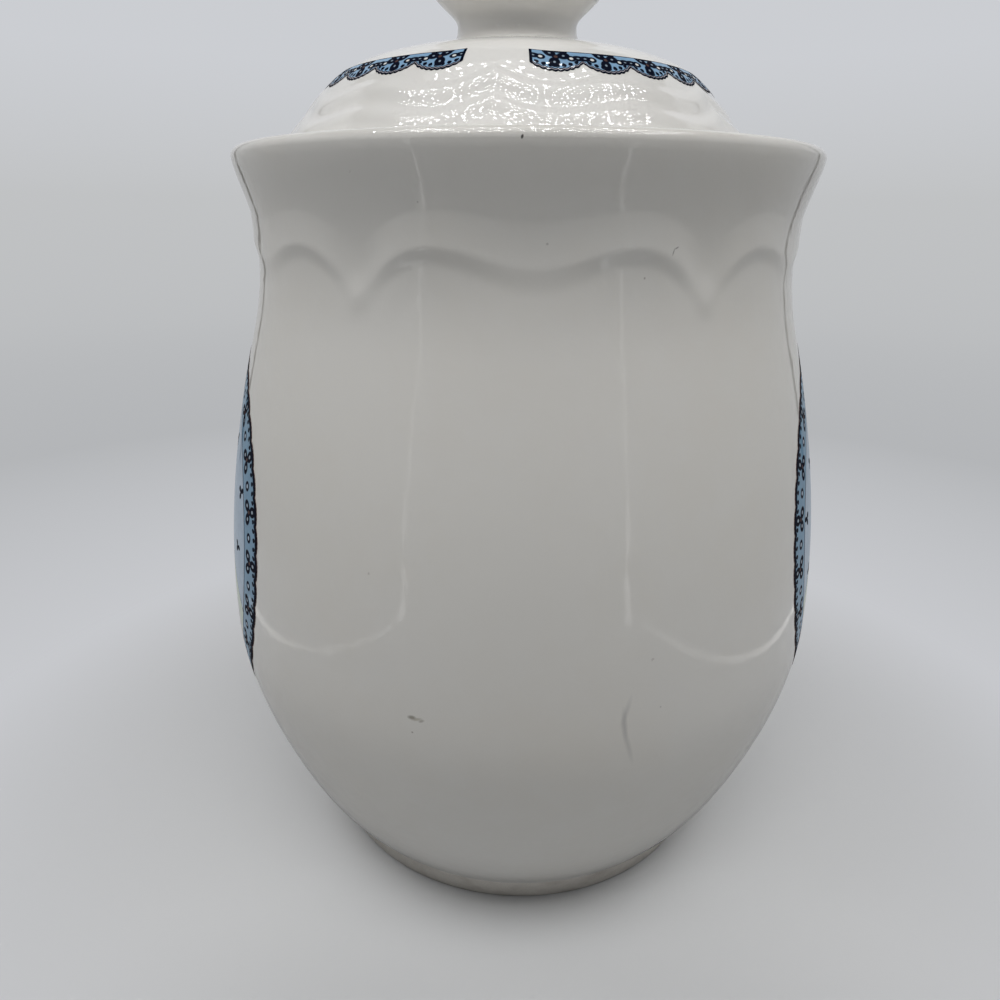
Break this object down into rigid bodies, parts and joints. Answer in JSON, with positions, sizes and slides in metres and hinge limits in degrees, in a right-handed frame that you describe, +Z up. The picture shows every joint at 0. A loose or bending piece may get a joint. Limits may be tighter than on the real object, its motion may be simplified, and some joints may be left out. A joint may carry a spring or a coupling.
{
  "type": "biscuit jar",
  "caption": "Round-bellied glazed earthenware biscuit jar with a flared mouth, a domed lift-off lid with a ball knob, and printed lace pictures on both sides.",
  "frame": {"origin": "middle of the foot ring, on the surface that the jar stands on", "axes": "+Z up along the jar's axis; the two printed pictures face +X and -X, the plain sides face -Y and +Y"},
  "size_m": [0.2078, 0.207, 0.3067],
  "materials": {
    "cream_glaze": "glossy glaze, bare fired clay at the foot ring",
    "lid_glaze": "glossy glaze",
    "picture_print": "fired-on print under a gloss flux",
    "lace_print": "fired-on print under a gloss flux"
  },
  "bodies": {
    "jar": {"jar_body": "cream_glaze", "picture_right": "picture_print", "picture_left": "picture_print"},
    "cover": {"lid": "lid_glaze", "lid_knob": "lid_glaze", "lid_lace_right": "lace_print", "lid_lace_left": "lace_print"}
  },
  "joints": [
    {"name": "lid_lift", "type": "slide", "parent": "jar", "child": "cover", "axis": [0, 0, 1], "range_m": [0, 0.15]}
  ]
}
